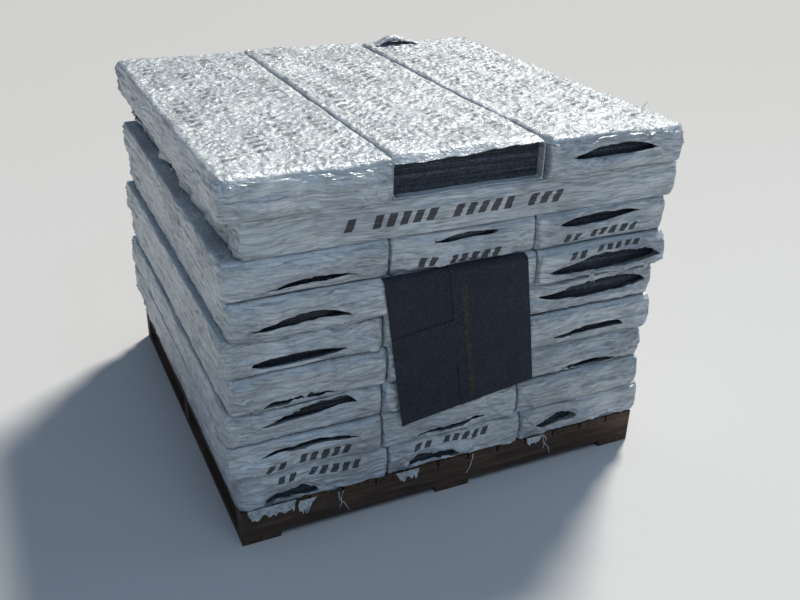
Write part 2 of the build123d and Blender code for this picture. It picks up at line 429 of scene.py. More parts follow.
def woodGroup():
    tree, inside, outside = newGroup("weatheredWood", [
        ("Grain", "Vector", woodLook["deckWood"])],
        [("Color", "Color"), ("Height", "Float")])
    coords = tree.nodes.new("ShaderNodeTexCoord").outputs["Object"]
    stretch = vectorMaths(tree, "MULTIPLY", coords, inside.outputs["Grain"])
    grain = noise(tree, stretch, 4.0, 8.0, 0.62, 0.6)
    tint = ramp(tree, grain, [(0.3, woodLook["dark"]), (0.5, woodLook["mid"]), (0.78, woodLook["pale"])])
    stain = ramp(tree, noise(tree, coords, 9.0, 5.0), [(0.32, (0.42, 0.42, 0.44)), (0.7, pale)])
    tree.links.new(mix(tree, "MULTIPLY", 0.8, tint, stain), outside.inputs["Color"])
    tree.links.new(grain, outside.inputs["Height"])
    return tree


film = filmMaterial()
grainTree, woodTree = granuleGroup(), woodGroup()
finishes = {"film": film}  # by how a node's name starts
for start, look in zip(("shingles", "sample_shingle", "sample_sealant"), granuleLooks):
    finishes[start] = granuleMaterial(look, grainTree)
for start, look in (("pallet_stringers", "stringerWood"), ("pallet", "deckWood")):
    finishes[start] = groupMaterial(look, woodTree, 0.84, 0.7, 0.002, Grain=woodLook[look])
for name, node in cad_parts.items():
    key = next(k for k in finishes if name.startswith(k))
    node.data.materials.clear()
    node.data.materials.append(finishes[key])
print("materials made")

# crushed film: a flat sheet is crumpled once for each kind of face, and every bundle takes its part of it

crush = {
    "cell": 0.0036,  # of the grid that the film is solved on
    "lumps": (0.009, 0.021, 0.05),  # sizes of its first unevenness
    "patches": (0.07, 0.09, 1),  # with more or less film to spare
    "hurry": 1.6,  # more than 1 takes fewer steps
    "settle": 4e-6,  # how far it sinks in a step
}
panels = {  # size, film to spare each way, stiffness, most height, steps, seed, stretch along X
    "top": ((0.56, 1.30), (0.036, 0.030), 0.7, 0.0062, 140, 3, 1.0),
    "end": ((0.68, 0.30), (0.002, 0.075), 1.0, 0.0075, 190, 17, 6.0),
    "side": ((1.30, 0.36), (0.002, 0.080), 1.0, 0.0075, 190, 29, 8.0),
}


def crushedPanel(size, excess, bend, cap, steps, seed, stretch):
    # film with more length than room, held at its borders over a flat pack, until it has crumpled
    cell = crush["cell"]
    nx, ny = int(size[0] / cell) + 1, int(size[1] / cell) + 1
    x, y = np.meshgrid(np.arange(nx) * cell, np.arange(ny) * cell, indexing="ij")
    flat = np.stack([x.ravel(), y.ravel(), np.zeros(x.size)], 1)
    lumps = sum(softNoise(flat, (k * stretch, k, 1), seed + i) for i, k in enumerate(crush["lumps"]))
    slack = np.clip(1 + 0.6 * softNoise(flat, crush["patches"], seed + 7), 0.3, 2).reshape(nx, ny)
    points = np.stack([x, y, (lumps.reshape(nx, ny) + 2) * cap * 0.2], 2)
    links = ((1, 0, 1.0), (0, 1, 1.0), (1, 1, 0.7), (1, -1, 0.7), (2, 0, bend * stretch), (0, 2, bend))
    for step in range(steps):
        move, weight = np.zeros_like(points), np.zeros((nx, ny))
        for di, dj, pull in links:
            first = (slice(0, nx - di), slice(max(-dj, 0), ny - max(dj, 0)))
            second = (slice(di, nx), slice(max(dj, 0), ny + min(dj, 0)))
            grow = np.hypot(di * (1 + excess[0] * slack[first]), dj * (1 + excess[1] * slack[first]))
            gap = points[second] - points[first]
            length = np.sqrt((gap ** 2).sum(-1)) + 1e-12
            change = (0.5 * pull * (length - cell * grow) / length)[..., None] * gap
            move[first] += change
            move[second] -= change
            weight[first] += pull
            weight[second] += pull
        points += move / np.maximum(weight, 1)[..., None] * crush["hurry"]
        points[..., 2] = np.clip(points[..., 2] - crush["settle"], 0, cap)
        points[0, :, 0], points[-1, :, 0] = 0, (nx - 1) * cell
        points[:, 0, 1], points[:, -1, 1] = 0, (ny - 1) * cell
    points[..., 0] -= x
    points[..., 1] -= y
    return points


def samplePanel(panel, u, v):  # how far the film is moved at a place on it
    nx, ny = panel.shape[:2]
    fu, fv = np.clip(u / crush["cell"], 0, nx - 1.001), np.clip(v / crush["cell"], 0, ny - 1.001)
    i, j = fu.astype(int), fv.astype(int)
    a, b = (fu - i)[:, None], (fv - j)[:, None]
    return (panel[i, j] * (1 - a) * (1 - b) + panel[i + 1, j] * a * (1 - b)
            + panel[i, j + 1] * (1 - a) * b + panel[i + 1, j + 1] * a * b)


crushed = {kind: crushedPanel(*facts) for kind, facts in panels.items()}
print("panels crushed")

# film round each bundle

filmSizes = {
    "width": 0.347,
    "length": 1.0164,  # before the ends swell
    "height": 0.084,
    "pitch": 0.3485,  # from bundle to bundle
    "solidLength": 1.0364,  # of the plain solid, swollen ends and all
    "cuts": (72, 106, 26),
    "topCuts": (116, 326, 28),
    "crowd": ((0.9, 0.014), (0.84, 0.0125), (0.66, 0.014)),  # share of the rows outside the borders, border
    "topCrowd": ((0.9, 0.014), (0.96, 0.0125), (0.66, 0.014)),
    "endSwell": (0.0020, 0.0075),
    "sideSwell": 0.0030,
    "belly": 0.30,
    "dents": 0.0034,
    "rounding": (0.0055, 0.012, 0.0055),  # tight along the sheets
    "endRounding": (0.017, 0.015, 0.018),  # softer past their ends
    "pastSheets": 0.0072,
    "packEnd": 0.492,  # where a pocket behind an opening ends, inside the sheets
    "openPackEnd": 0.470,
    "lips": ((0.0009, 0.0005), (0.004, 0.006), (None, 0.0)),  # depth and growth, pocket last
}
openings = {  # middle, level, half length, rise, drop, raggedness, tilt, left point, right point, bow
    "lens": (-0.012, 0.52, 0.112, 0.014, 0.011, 0.0004, 0.004, 2.0, 3.0, 0.002),
    "low lens": (-0.028, 0.30, 0.108, 0.012, 0.009, 0.0005, 0.006, 1.6, 2.6, 0.003),
    "high lens": (-0.010, 0.68, 0.116, 0.010, 0.014, 0.0004, 0.002, 3.6, 1.5, 0.0),
    "slit": (0.006, 0.24, 0.100, 0.006, 0.006, 0.0006, 0.004, 1.6, 2.0, 0.002),
    "high slit": (0.012, 0.80, 0.094, 0.005, 0.008, 0.0006, 0.003, 2.4, 1.6, 0.0),
    "slot": (-0.014, 0.34, 0.106, 0.007, 0.015, 0.0005, 0.001, 4.5, 2.2, 0.0),
    "gash": (0.004, 0.62, 0.112, 0.018, 0.008, 0.0010, 0.007, 1.3, 6.0, 0.0),
    "arc": (-0.002, 0.62, 0.122, 0.013, 0.001, 0.0004, 0.006, 2.0, 2.6, 0.007),
    "torn seam": (-0.036, 0.13, 0.092, 0.008, 0.004, 0.0026, 0.001, 3.0, 2.0, 0.0),
    "seam lens": (0.026, 0.14, 0.088, 0.006, 0.009, 0.0008, 0.0, 1.6, 1.5, 0.0),
    "low tear": (-0.060, 0.22, 0.066, 0.015, 0.008, 0.0034, -0.002, 3.0, 4.0, 0.0),
    "great tear": (-0.002, 0.44, 0.156, 0.018, 0.021, 0.0013, 0.008, 1.5, 5.0, 0.0),
    "wide": (0.006, 0.56, 0.150, 0.018, 0.021, 0.0012, 0.004, 1.7, 5.0, 0.0),
    "box slot": (-0.006, 0.30, 0.104, 0.010, 0.006, 0.0004, 0.003, 1.8, 9.0, 0.0),
    "short gash": (-0.070, 0.44, 0.060, 0.014, 0.014, 0.0024, 0.010, 1.6, 3.0, 0.0),
}
nearOpenings = [  # left to right, from the bottom layer up
    ("low tear", "low tear", "short gash"),
    ("arc", "slit", "closed"),
    ("gash", "slit", "seam lens"),
    ("torn seam", "low lens", "box slot"),
    ("slot", "lens", "wide"),
    ("low lens", "closed", "great tear"),
    ("slit", "high slit", "high lens"),
    ("lens", "slit", "low lens"),
    ("closed", "open", "lens"),
]
farOpenings = [
    ("lens", "slit", "torn seam"),
    ("slit", "lens", "low lens"),
    ("gash", "high lens", "slit"),
    ("wide", "slit", "arc"),
    ("high slit", "low lens", "slit"),
    ("lens", "great tear", "slot"),
    ("slit", "low lens", "high lens"),
    ("high lens", "closed", "slit"),
    ("low lens", "arc", "slit"),
]
filmPrint = {
    "nearEnds": {(1, 0): 0.020, (1, 1): 0.020, (2, 0): -0.020, (6, 2): 0.017, (7, 1): -0.017, (7, 2): -0.018},
    "sides": {(9, 2), (8, 0), (8, 2), (5, 2), (2, 2)},  # layers and columns, as above, where heights follow
    "farBare": {"gash", "arc", "wide", "lens", "high lens", "short gash", "low tear"},
    "farHeights": (0.020, -0.022),  # over a low opening, under a high one
    "endMiddle": 0.014,  # of the row of bars on the wrap map, past 1
    "endOff": 0.3,  # past all rows, which leaves the film bare
    "sideOn": 2.0,
    "sideOff": 2.3,
}
columnNames = ("left", "middle", "right")
crossLayer, topLayer = 8, 9
halfSize = tuple(filmSizes[k] / 2 for k in ("width", "length", "height"))


def spread(values, half, part, border):  # crowds a share of the rows into the border
    t = np.abs(values) * 2
    return np.sign(values) * np.interp(t, (0, part, 1), (0, half - border, half))


def wrapGrid(top):  # a box of rows that crowd towards its edges
    bm = bmesh.new()
    bmesh.ops.create_cube(bm, size=1.0)
    for axis, count in enumerate(filmSizes["topCuts" if top else "cuts"]):
        along = [e for e in bm.edges if abs((e.verts[1].co - e.verts[0].co).normalized()[axis]) > 0.9]
        bmesh.ops.subdivide_edges(bm, edges=along, cuts=count - 1, use_grid_fill=True)
    flat = readVerts(bm)
    crowd = filmSizes["topCrowd" if top else "crowd"]
    box = np.stack([spread(flat[:, i], halfSize[i], *crowd[i]) for i in range(3)], 1)
    moveVerts(bm, box)
    return bm, box


def mapWrap(bm, wrap):  # the film laid flat, for its print
    l, h = halfSize[1:]
    uv = bm.loops.layers.uv.new("wrap")
    shift = (wrap.seed * 0.618) % 1 - 0.5
    level = openings[wrap.far][1] if wrap.far in openings else 0.4
    farBare = wrap.far in filmPrint["farBare"] or wrap.seed * 7 % 5 < 2
    farHeight = None if farBare else filmPrint["farHeights"][0 if level < 0.45 else 1]
    printed = {-1: filmPrint["nearEnds"].get((wrap.layer, wrap.column)), 1: farHeight}
    endLevel = {end: filmPrint["endOff"] if z is None else filmPrint["endMiddle"] - z
                for end, z in printed.items()}
    sideLevel = filmPrint["sideOn" if (wrap.layer, wrap.column) in filmPrint["sides"] else "sideOff"]
    for f in bm.faces:
        c = f.calc_center_median()
        onEnd, onTop = abs(abs(c.y) - l) < 1e-5, abs(abs(c.z) - h) < 1e-5
        for loop in f.loops:
            x, y, z = loop.vert.co
            side = (y * (1 if x > 0 else -1) + 0.04 * shift, sideLevel + z + 0.004 * shift)
            end = (x + 0.03 * shift, 1 + z + endLevel[1 if y > 0 else -1] + 0.006 * shift)
            loop[uv].uv = end if onEnd else ((y, x) if onTop else side)


def cutOpenings(bm, box, wrap):  # slits across the ends, or a whole end taken off
    l, h = halfSize[1:]
    lips = {}
    for end, shape in wrap.ends:
        if shape == "open":
            gone = [f for f in bm.faces if abs(f.calc_center_median().y - end * l) < 1e-5]
            bmesh.ops.delete(bm, geom=gone, context="FACES_ONLY")
        elif shape != "closed":
            middle, level, half = openings[shape][:3]
            middle = middle if end < 0 else -middle
            rows = np.unique(np.round(box[:, 2], 5))
            row = rows[np.argmin(np.abs(rows - (level * 2 - 1) * h))]
            slit = [e for e in bm.edges if all(
                abs(v.co.y - end * l) < 1e-5 and abs(v.co.z - row) < 1e-4 and abs(v.co.x - middle) < half
                for v in e.verts)]
            bmesh.ops.split_edges(bm, edges=slit)
            lips[end] = (middle, row) + openings[shape][2:]
    loose = [v for v in bm.verts if not v.link_faces]
    bmesh.ops.delete(bm, geom=loose, context="VERTS")
    bm.verts.ensure_lookup_table()
    return lips


def dissolveHidden(bm, box, wrap):  # hidden faces, which stay flat, are kept in one piece each
    w, l, h = halfSize
    groups = {}
    for f in bm.faces:
        c = sum((Vector(box[v.index]) for v in f.verts), Vector()) / len(f.verts)
        if abs(c.y) > l - 0.030:
            continue
        if abs(c.x) < w - 0.016 and abs(abs(c.z) - h) < 1e-5 and not (wrap.top and c.z > 0):
            groups.setdefault(("flat", c.z > 0), []).append(f)
        elif abs(c.z) < h - 0.016 and abs(abs(c.x) - w) < 1e-5 and c.x * wrap.shown <= 0:
            groups.setdefault(("side", c.x > 0), []).append(f)
    for faces in groups.values():
        bmesh.ops.dissolve_faces(bm, faces=faces)


def closeOpenings(bm, wrap):
    # the film's cut edge, then a wider pocket behind it that ends inside the sheets
    w, l, h = halfSize
    for end, shape in wrap.ends:
        edges = [e for e in bm.edges if e.is_boundary and e.verts[0].co.y * end > 0]
        if not edges:
            continue
        centre = sum((v.co for e in edges for v in e.verts), Vector()) / (2 * len(edges))
        for e in edges:
            e.smooth = False
        for depth, grow in filmSizes["lips"]:
            made = bmesh.ops.extrude_edge_only(bm, edges=edges)["geom"]
            verts = [g for g in made if isinstance(g, bmesh.types.BMVert)]
            edges = [g for g in made if isinstance(g, bmesh.types.BMEdge) and g.is_boundary]
            for v in verts:
                away = v.co - centre
                if shape == "open":
                    inward = 0.0009 if grow else 0.004
                    v.co.x -= inward * stepSign(v.co.x, w - 0.0128)
                    v.co.z -= inward * stepSign(v.co.z, h - 0.0128)
                    v.co.y = v.co.y - end * 0.0004 if depth is not None else end * filmSizes["openPackEnd"]
                else:
                    v.co.z += math.copysign(grow, away.z)
                    v.co.x += grow * away.x / 0.12
                    v.co.y = end * filmSizes["packEnd"] if depth is None else v.co.y - end * depth
        bmesh.ops.holes_fill(bm, edges=edges, sides=0)


def filmObject(name, bm):
    for f in bm.faces:
        f.smooth = True
    piece = meshPiece(name, bm, film)
    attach(piece, "root")
    return piece


def filmPiece(name, layer, column, place):
    near, far = nearOpenings[layer - 1][column], farOpenings[layer - 1][column]
    turned = layer == crossLayer
    wrap = SimpleNamespace(
        layer=layer, column=column, seed=layer * 10 + column, place=place, turned=turned,
        top=layer == topLayer, near=near, far=far, ends=((-1, near), (1, far)),
        shown=1 - column if turned else column - 1)  # which long side is open to view, none in the middle
    bm, box = wrapGrid(wrap.top)
    mapWrap(bm, wrap)
    lips = cutOpenings(bm, box, wrap)
    box = readVerts(bm)
    above = np.array([np.mean([f.calc_center_median().z for f in v.link_faces]) > v.co.z for v in bm.verts])
    moveVerts(bm, shapeFilm(box, above, lips, wrap))
    dissolveHidden(bm, box, wrap)
    closeOpenings(bm, wrap)
    bmesh.ops.recalc_face_normals(bm, faces=bm.faces)
    turn = Matrix.Rotation(math.radians(-90), 4, "Z") if turned else Matrix.Identity(4)
    lift = Matrix.Translation(place + Vector((0, 0, halfSize[2])))
    bmesh.ops.transform(bm, matrix=lift @ turn, verts=bm.verts)
    return filmObject(name, bm)


# the shape of one wrap: box is its plain grid, p the moved vertices, at tells the face that each is on

folds = {
    "edgeFade": 0.009,  # crumples die out that near the edges of a face
    "endCrush": 0.40,
    "sideCrush": 0.5,
    "slip": 0.4,  # share of the sideways moves that ends and long sides keep
    "endLevel": 0.0026,
    "sideLevel": 0.0024,
    "sideStrength": (1.3, 1.15),  # front to back, across
    "sideSlope": (0.10, 0.05),
    "pleats": (0.11, 0.02, 0.16),  # on the layer that lies across: rise, middle and reach
    "lumps": ((0.034, 0.034, 0.022), 0.0011, (0.013, 0.013, 0.010), 0.0006),
    "crest": 0.0042,
    "ripple": 0.0009,
    "room": 0.0006,  # the film may not sink further into the sheets
    "sideRoom": 0.0022,
    "hiddenSink": 0.0025,  # between two bundles
}
seams = {
    "wander": ((0.19, 0.19, 1), 0.0068, (0.05, 0.05, 1), 0.0014),
    "sideShare": 0.08,
    "sag": 0.006,  # of the lowest film, past the deck
}
creases = {
    "pinch": (0.0040, 0.0060, 0.013),  # how far the upper and the lower lip draw in, and how near them
    "fan": (0.0036, 0.050, 0.012),  # round an opening's corner: height, reach and start
    "corner": (0.0028, 0.0042),  # to the bundle's corners: height and width
    "tuck": (0.0042, 0.004, 0.0036),  # on a closed end: height, width and depth inside
    "tuckWidths": {-1: 0.046, 1: 0.062},  # left and right
}
sampleRoom = {"back": -0.5266, "beside": 0.004, "slope": 0.30}  # the film stays behind the hung sample


def flowFolds(along, up, slope, seed):  # long folds that wander along a face, with sharp crests
    spot = np.stack([along, up, np.full(len(up), seed * 3.7)], 1)
    level = up + slope * along + softNoise(spot, (0.10, 0.05, 1), seed + 50) * 0.020
    spot = np.stack([along, level, np.full(len(up), seed * 5.1)], 1)
    crest = (1 - np.abs(softNoise(spot, (0.085, 0.0115, 1), seed + 51))) ** 4
    return folds["crest"] * crest + folds["ripple"] * softNoise(spot, (0.05, 0.007, 1), seed + 52)


def jaggedLine(x, sizes, seed):
    return sum(alongRow(x, size, seed + i) * (1.0 if i else 0.6) for i, size in enumerate(sizes))


def shapeOpening(p, box, here, above, lip, end, seed):
    w, l, h = halfSize
    x, y, z = box.T
    middle, row, reach, rise, drop, ragged, tilt, leftPoint, rightPoint, bow = lip
    t = np.clip((x - middle) / reach, -1, 1)
    arch = 1 - np.abs(t) ** np.where(t < 0, leftPoint, rightPoint)
    lean = tilt * t * (1 - np.abs(t) ** 6) + bow * (1 - t ** 2)
    jag = jaggedLine(x, (0.0045, 0.011, 0.030), seed) * ragged * arch
    lowJag = jaggedLine(x, (0.0050, 0.013, 0.035), seed + 5) * ragged * arch
    up = here & np.where(np.abs(z - row) < 1e-4, above, z > row)
    down = here & ~up
    p[up, 2] += ((rise * arch + jag + lean) * np.clip((h - z) / (h - row), 0, 1))[up]
    p[down, 2] -= ((drop * arch + lowJag - lean) * np.clip((z + h) / (row + h), 0, 1))[down]
    upperIn, lowerIn, near = creases["pinch"]
    close = np.exp(-np.abs(z - row) / near) * arch
    p[up, 1] -= (end * close * upperIn)[up]
    p[down, 1] -= (end * close * lowerIn)[down]
    # creases from the corners of the opening, in a fan and to the corners of the bundle
    height, fade, start = creases["fan"]
    cornerHeight, cornerWidth = creases["corner"]
    for side in (-1, 1):
        cx = middle + side * reach
        dx, dz = x - cx, p[:, 2] - row
        r = np.hypot(dx, dz)
        fan = (np.arctan2(dz, dx * side) * 3.1 + seed * 1.7 + 9 * r) % 1.0
        crest = np.exp(-((fan - 0.5) / 0.15) ** 2)
        p[here, 1] += (end * crest * height * np.exp(-r / fade) * np.clip(r / start, 0, 1))[here]
        for level in (-1, 1):
            away = nearSegment(x, z, cx, row, side * (w - 0.004), level * (h - 0.004))
            p[here, 1] += (end * cornerHeight * np.exp(-(away / cornerWidth) ** 2))[here]


def foldClosedEnd(p, box, here, end, at):  # folded in from both corners, as on a parcel
    w, l, h = halfSize
    x, y, z = box.T
    height, width, depth = creases["tuck"]
    for side, inner in creases["tuckWidths"].items():
        fold = nearSegment(x, z, side * (w - 0.003), h - 0.006, side * (w - inner), -h + 0.008)
        inside = (w - np.abs(x)) < inner * (h - z) / (2 * h) + 0.004
        crest = height * np.exp(-(fold / width) ** 2) - depth * inside * (at.outSide == side)
        p[here, 1] += (end * crest)[here]


def placesOf(box, wrap):
    w, l, h = halfSize
    x, y, z = box.T
    at = SimpleNamespace(outSide=np.sign(x), endSide=np.sign(y), level=z / h)
    past = filmSizes["pastSheets"]
    at.pastSheets = np.clip((np.abs(y) - (l - past)) / past, 0, 1)
    at.straight = ((at.endSide < 0) & (wrap.near == "open")) | ((at.endSide > 0) & (wrap.far == "open"))
    at.onEnd = (np.abs(np.abs(y) - l) < 1e-5) & ~at.straight
    at.onTop = np.abs(np.abs(z) - h) < 1e-5
    at.onSide = np.abs(np.abs(x) - w) < 1e-5
    at.outer = at.outSide * wrap.shown > 0
    return at


def roundBox(box, at, wrap):  # tight along the sheets, softer and uneven past their ends
    half, l = np.array(halfSize), halfSize[1]
    tight, past = filmSizes["rounding"], filmSizes["pastSheets"]
    softness = (1.0 if wrap.top else 0.75) + 0.35 * ((wrap.seed * 0.37) % 1)
    spot = np.stack([box[:, 0], np.sign(box[:, 2]) * 3, at.endSide * 5 + wrap.seed], 1)
    uneven = 1 + 0.45 * softNoise(spot, (0.085, 1, 1), wrap.seed + 90)
    soft = np.array(filmSizes["endRounding"]) * softness * uneven[:, None]
    blend = stepUp(at.pastSheets, 0, 0.7)[:, None]
    radius = np.array(tight) * (1 - blend) + soft * blend
    radius[at.straight] = tight
    radius[:, 1] = np.where(at.straight, 1, soft[:, 1])
    core = np.clip(box, -half + radius, half - radius)
    core[:, 1] = np.where(at.straight, box[:, 1], np.clip(box[:, 1], past - l, l - past))
    d = (box - core) / radius
    d[:, 1] = np.where(at.straight, 0, at.endSide * at.pastSheets)  # the end rounds off past the sheets alone
    normal = d / np.maximum(np.linalg.norm(d, axis=1, keepdims=True), 1e-6)
    return core + normal * radius, normal


def swell(p, q, at, seed):  # the ends swell, each with its own belly
    low, high = filmSizes["endSwell"]
    belly = filmSizes["belly"] * math.sin(seed * 2.1)
    bulge = 1 - (at.level - belly * (1 - at.level ** 2)) ** 2
    out = (low + (high - low) * ((seed * 0.53) % 1)) * bulge
    p[:, 1] += at.endSide * (at.pastSheets * np.where(at.straight, 0, 1)) * np.clip(out, 0, 1)
    p[:, 0] += at.outSide * filmSizes["sideSwell"] * (1 - at.level ** 2) * (at.onSide & at.outer)
    dents = softNoise(q, (0.11, 1, 0.05), seed + 40) * filmSizes["dents"]
    p[:, 1] += at.endSide * at.onEnd * (dents - 0.0010)


def crumple(p, q, box, normal, at, wrap):  # each kind of crease fades at the edges of its face
    w, l, h = halfSize
    x, y, z = box.T
    seed, turned, top, slip = wrap.seed, wrap.turned, wrap.top, folds["slip"]
    fx, fy, fz = (np.clip((halfSize[i] - np.abs(box[:, i])) / folds["edgeFade"], 0, 1) for i in range(3))
    # the bundle's own part of each crushed panel
    flip = 1 if seed % 2 else -1
    slideX, slideY = (seed * 0.137) % 1 * 0.28, (seed * 0.071) % 1 * 0.20
    up = p[:, 2] + h
    ends = samplePanel(crushed["end"], x * flip + w + 0.01 + slideX, up + slideY * 0.6 + x * 0.06)
    long = samplePanel(crushed["side"], (y * flip + l) * 0.8 + 0.05 + slideX,
                       up + slideY * 0.5 + 0.09 * (y + l))
    tops = samplePanel(crushed["top"], x * flip + w + slideX * 0.6, y + l + slideY)
    # folds along the faces
    endFolds = flowFolds(x, p[:, 2], 0.5 * math.sin(seed * 1.9), seed)
    rise, middle, reach = folds["pleats"]
    pleats = rise * np.exp(-np.abs(y - middle) / reach) if turned else 0.0
    sideFolds = flowFolds(y * 0.7, p[:, 2] - pleats, folds["sideSlope"][turned], seed + 7)
    sideFolds = sideFolds * folds["sideStrength"][turned]
    nearEnd = nearRim(y, l, 0.20, 0.02)
    onEnds = ends[:, 2] * folds["endCrush"] + endFolds - folds["endLevel"]
    onSides = long[:, 2] * folds["sideCrush"] + sideFolds * (0.6 + 0.5 * nearEnd) - folds["sideLevel"]

    def byFace(end, above, side):
        return np.where(at.onEnd, end, np.where(at.onTop, above, side))

    out = byFace(onEnds * fx * fz, tops[:, 2] * fx * fy * (z > 0), onSides * fy * fz)
    move = np.stack([
        byFace(ends[:, 0] * slip * flip * fx * fz, tops[:, 0] * flip * fx * fy, 0),
        byFace(0, tops[:, 1] * fx * fy, long[:, 0] * slip * flip * fy * fz),
        byFace(ends[:, 1] * slip * fx * fz, 0, long[:, 1] * slip * fy * fz)], 1)
    size, height, smallSize, smallHeight = folds["lumps"]
    out += softNoise(q, size, seed + 60) * height + softNoise(q, smallSize, seed + 61) * smallHeight
    if top:
        puff = 0.0022 * (softNoise(q, (0.10, 0.14, 1), seed + 3) + 0.6) + 0.0012 * nearEnd
        out += np.where(at.onTop & (z > 0), puff * fx * fy + 0.0006, 0)
    room = np.where(at.onSide, folds["room"] + folds["sideRoom"] * fz, folds["room"])
    out = np.where(np.abs(y) < l - filmSizes["pastSheets"], np.maximum(out, -room), out)
    # hidden faces lie still, apart from their rims
    rest = at.onTop & ((z < 0) | (not top))
    hiddenSide = at.onSide & ~at.outer & ~at.onEnd & ~at.onTop
    endRim = nearRim(y, l, 0.028, 0.012)
    rim = np.maximum(endRim, nearRim(x, w, 0.014, 0.005) * at.outer)
    sideHold = stepUp(z, h - 0.016, h - 0.004) * 0.4 if top else endRim * 0.3
    hold = np.where(hiddenSide, sideHold, np.where(rest, rim * 0.3, 1.0))
    out = out - np.where(hiddenSide, folds["hiddenSink"], 0)
    p += (move + normal * out[:, None]) * hold[:, None]


def wanderSeams(p, box, world, at, layer):  # the same way for both films that meet at a seam
    w, l, h = halfSize
    rim = np.maximum(nearRim(box[:, 1], l, 0.014, 0.002),
                     nearRim(box[:, 0], w, 0.020, 0.004) * at.outer * seams["sideShare"])
    share = np.clip(0.5 + at.level / 2, 0, 1)
    size, height, smallSize, smallHeight = seams["wander"]
    for level, part in ((layer - 1, 1 - share), (layer, share)):
        if level in (0, topLayer):
            continue
        spot = np.stack([world[:, 0], world[:, 1], np.full(len(p), level * 7.3)], 1)
        wander = softNoise(spot, size, 71) * height + softNoise(spot, smallSize, 72) * smallHeight
        p[:, 2] += wander * part * rim
    if layer == 1:
        sag = np.clip(0.5 + alongRow(world[:, 0] + world[:, 1], 0.07, 81), 0, 1) * seams["sag"]
        p[:, 2] -= sag * (1 - share) ** 2 * np.clip(rim, 0, 1) * (at.onEnd | at.onSide)


def droopOpenEnd(p, box, at, seed):  # the film stands past the sheets and droops over them
    w, l, h = halfSize
    x, y, z = box.T
    edge = nearRim(y, l, 0.010, 0) * at.straight
    wave = alongRow(x, 0.045, seed + 21) + 0.5 * alongRow(x, 0.013, seed + 22)
    p[:, 1] += at.endSide * edge * (0.010 + 0.003 * wave)
    past = nearRim(p[:, 1], l, 0.006, -0.012)
    roof = np.clip((at.level - 0.45) / 0.5, 0, 1)
    droop = 0.013 * stepUp(-x, -w, w) + 0.003 + 0.0015 * wave
    p[:, 2] -= past * roof * droop * at.straight


def keepBehindSample(p, world, at, place):
    low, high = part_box("sample_shingle")
    beside = sampleRoom["beside"]
    height = p[:, 2] + place.z + halfSize[2]
    outside = np.maximum(np.maximum(low.x - beside - world[:, 0], world[:, 0] - high.x - beside), 0)
    outside = np.hypot(outside, np.maximum(np.maximum(low.z - height, height - high.z), 0))
    limit = sampleRoom["back"] - sampleRoom["slope"] * outside - place.y
    p[:, 1] = np.where(at.endSide < 0, np.maximum(p[:, 1], limit), p[:, 1])


def shapeFilm(box, above, lips, wrap):
    seed, place = wrap.seed, wrap.place
    at = placesOf(box, wrap)
    p, normal = roundBox(box, at, wrap)
    q = p + np.array(((seed * 0.37) % 5, (seed * 0.61) % 5, (seed * 0.23) % 5))  # where its noise is read
    swell(p, q, at, seed)
    for end, shape in wrap.ends:
        here = at.onEnd & (at.endSide == end)
        if end in lips:
            shapeOpening(p, box, here, above, lips[end], end, seed)
        elif shape == "closed":
            foldClosedEnd(p, box, here, end, at)
    crumple(p, q, box, normal, at, wrap)
    world = np.stack([p[:, 1], -p[:, 0]], 1) if wrap.turned else p[:, :2].copy()
    world += np.array((place.x, place.y))
    wanderSeams(p, box, world, at, wrap.layer)
    if at.straight.any():
        droopOpenEnd(p, box, at, seed)
    if wrap.layer < crossLayer:
        keepBehindSample(p, world, at, place)
    return p


for layer in range(1, topLayer + 1):
    for column, side in enumerate(columnNames):
        node = f"film_top_{side}" if layer == topLayer else f"film_layer_{layer}"
        low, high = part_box(node)
        place = Vector(((low.x + high.x) / 2, (low.y + high.y) / 2, low.z))
        if layer == topLayer:
            place.y = high.y - filmSizes["solidLength"] / 2
        else:
            offset = (column - 1) * filmSizes["pitch"]
            place += Vector((0, offset, 0) if layer == crossLayer else (offset, 0, 0))
        piece = filmPiece(f"film_{layer}_{side}", layer, column, place)
        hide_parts(node)
    print("film of layer", layer)

# loose film: a flap that stands open at the back, torn bits and threads

flapSizes = {
    "corner": (0.188, 0.432),
    "size": (0.185, 0.078),
    "level": 0.8475,
    "rise": 0.030,
    "peak": 0.36,  # where it stands highest, along the lip
    "curl": 0.012,
    "narrowing": 0.22,
    "thickness": 0.0008,
}
tornSizes = {"mesh": 0.003, "rows": 14, "thickness": 0.0007}
tatters = [  # start, width, drop, taper, lean, curl outwards
    ((-0.452, -0.530, 0.104), 0.110, 0.030, 0.15, 0.10, 0.004),
    ((-0.372, -0.534, 0.100), 0.040, 0.036, 0.60, -0.30, 0.008),
    ((-0.130, -0.531, 0.101), 0.060, 0.024, 0.35, 0.20, 0.006),
    ((0.215, -0.530, 0.100), 0.050, 0.020, 0.50, -0.25, 0.006),
    ((0.322, -0.530, 0.521), 0.016, 0.024, 0.50, 0.20, 0.004),
    ((0.486, -0.531, 0.535), 0.034, 0.030, 0.65, -0.40, 0.006),
    ((0.452, -0.528, 0.512), 0.022, 0.014, 0.40, 0.30, 0.004),
    ((-0.300, -0.536, 0.098), 0.0022, 0.052, 0.20, 0.35, 0.006),
    ((-0.291, -0.535, 0.099), 0.0020, 0.040, 0.20, -0.25, 0.009),
    ((0.046, -0.531, 0.099), 0.0022, 0.046, 0.20, -0.45, 0.005),
    ((0.238, -0.531, 0.098), 0.0020, 0.050, 0.20, 0.40, 0.008),
    ((0.247, -0.531, 0.098), 0.0018, 0.034, 0.20, -0.20, 0.006),
    ((0.505, -0.400, 0.8475), 0.0020, -0.020, 0.20, 0.60, 0.002),
]


